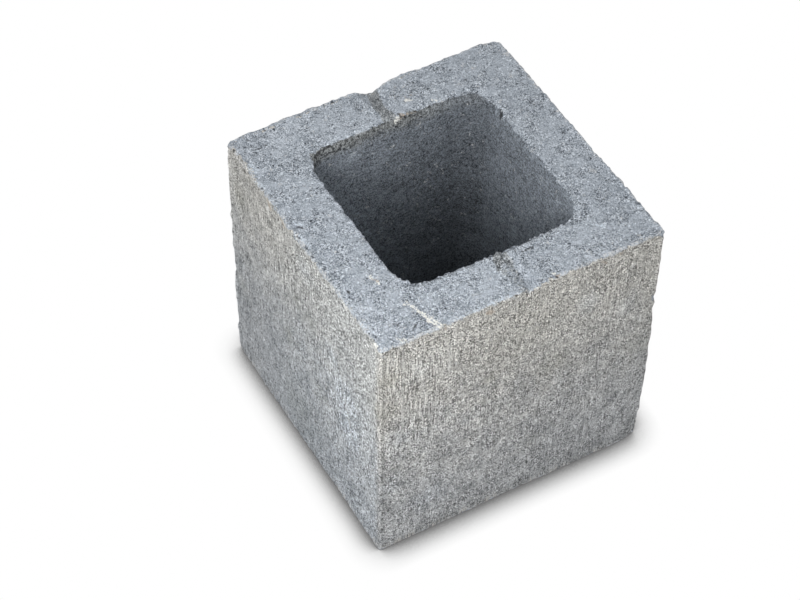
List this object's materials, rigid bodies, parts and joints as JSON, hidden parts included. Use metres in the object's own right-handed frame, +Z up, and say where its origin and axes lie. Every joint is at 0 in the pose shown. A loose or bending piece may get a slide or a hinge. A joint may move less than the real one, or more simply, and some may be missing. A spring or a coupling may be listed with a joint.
{
  "type": "concrete block",
  "caption": "Hollow cube-like half block of pressed concrete with a square tapered core through it, rounded arrises and core-bar marks in its top bed.",
  "frame": {"origin": "on the floor under the middle of the block", "axes": "+Z up through the core, from the bottom bed to the top bed; +X and +Y square to the outer faces; the core-bar marks lie on the walls that face +Y and -Y"},
  "size_m": [0.19, 0.19, 0.19],
  "materials": {
    "concrete": "pressed grey concrete, matt, fine open grain, with vertical drag marks on the outer faces"
  },
  "bodies": {
    "root": {"block": "concrete"}
  },
  "joints": []
}
